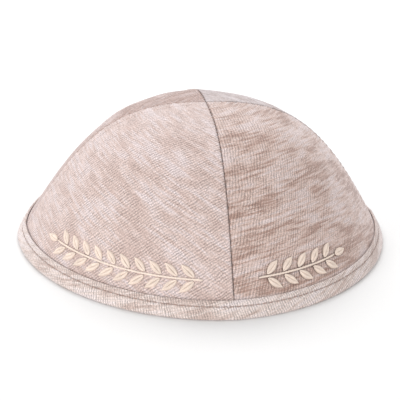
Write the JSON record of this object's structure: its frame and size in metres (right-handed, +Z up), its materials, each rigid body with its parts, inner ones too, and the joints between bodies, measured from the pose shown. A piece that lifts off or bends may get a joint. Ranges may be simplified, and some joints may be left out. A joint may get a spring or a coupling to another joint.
{
  "type": "embroidered kippah",
  "caption": "Soft cloth skullcap: sewn gores rise to a rounded crown, bound at the rim by a folded band, with a raised leaf ornament above the band at the front.",
  "frame": {"origin": "centre of the rim, on the surface that the cap rests on", "axes": "+Z up through the meeting of the seams; -Y is the front, where a seam runs down between the two embroidered gores; the other seams lie on +X, +Y and -X"},
  "size_m": [0.18, 0.18, 0.0665],
  "materials": {
    "cloth_front_left": "brushed heather twill",
    "cloth_front_right": "brushed heather rib with brown slubs",
    "cloth_back_left": "brushed heather rib with brown slubs",
    "cloth_back_right": "brushed heather rib",
    "band_cloth": "brushed heather rib, folded",
    "embroidery_thread": "satin stitch"
  },
  "bodies": {
    "root": {"panel_front_left": "cloth_front_left", "panel_front_right": "cloth_front_right", "panel_back_left": "cloth_back_left", "panel_back_right": "cloth_back_right", "rim_band": "band_cloth", "embroidered_stem_left": "embroidery_thread", "embroidered_stem_right": "embroidery_thread", "embroidered_leaf_left_01": "embroidery_thread", "embroidered_leaf_left_02": "embroidery_thread", "embroidered_leaf_left_03": "embroidery_thread", "embroidered_leaf_left_04": "embroidery_thread", "embroidered_leaf_left_05": "embroidery_thread", "embroidered_leaf_left_06": "embroidery_thread", "embroidered_leaf_left_07": "embroidery_thread", "embroidered_leaf_left_08": "embroidery_thread", "embroidered_leaf_left_09": "embroidery_thread", "embroidered_leaf_left_10": "embroidery_thread", "embroidered_leaf_left_11": "embroidery_thread", "embroidered_leaf_left_12": "embroidery_thread", "embroidered_leaf_left_13": "embroidery_thread", "embroidered_leaf_left_14": "embroidery_thread", "embroidered_leaf_left_15": "embroidery_thread", "embroidered_leaf_left_16": "embroidery_thread", "embroidered_leaf_left_17": "embroidery_thread", "embroidered_leaf_left_18": "embroidery_thread", "embroidered_leaf_left_19": "embroidery_thread", "embroidered_leaf_left_20": "embroidery_thread", "embroidered_leaf_left_21": "embroidery_thread", "embroidered_leaf_right_01": "embroidery_thread", "embroidered_leaf_right_02": "embroidery_thread", "embroidered_leaf_right_03": "embroidery_thread", "embroidered_leaf_right_04": "embroidery_thread", "embroidered_leaf_right_05": "embroidery_thread", "embroidered_leaf_right_06": "embroidery_thread", "embroidered_leaf_right_07": "embroidery_thread", "embroidered_leaf_right_08": "embroidery_thread", "embroidered_leaf_right_09": "embroidery_thread", "embroidered_leaf_right_10": "embroidery_thread", "embroidered_leaf_right_11": "embroidery_thread"}
  },
  "joints": []
}
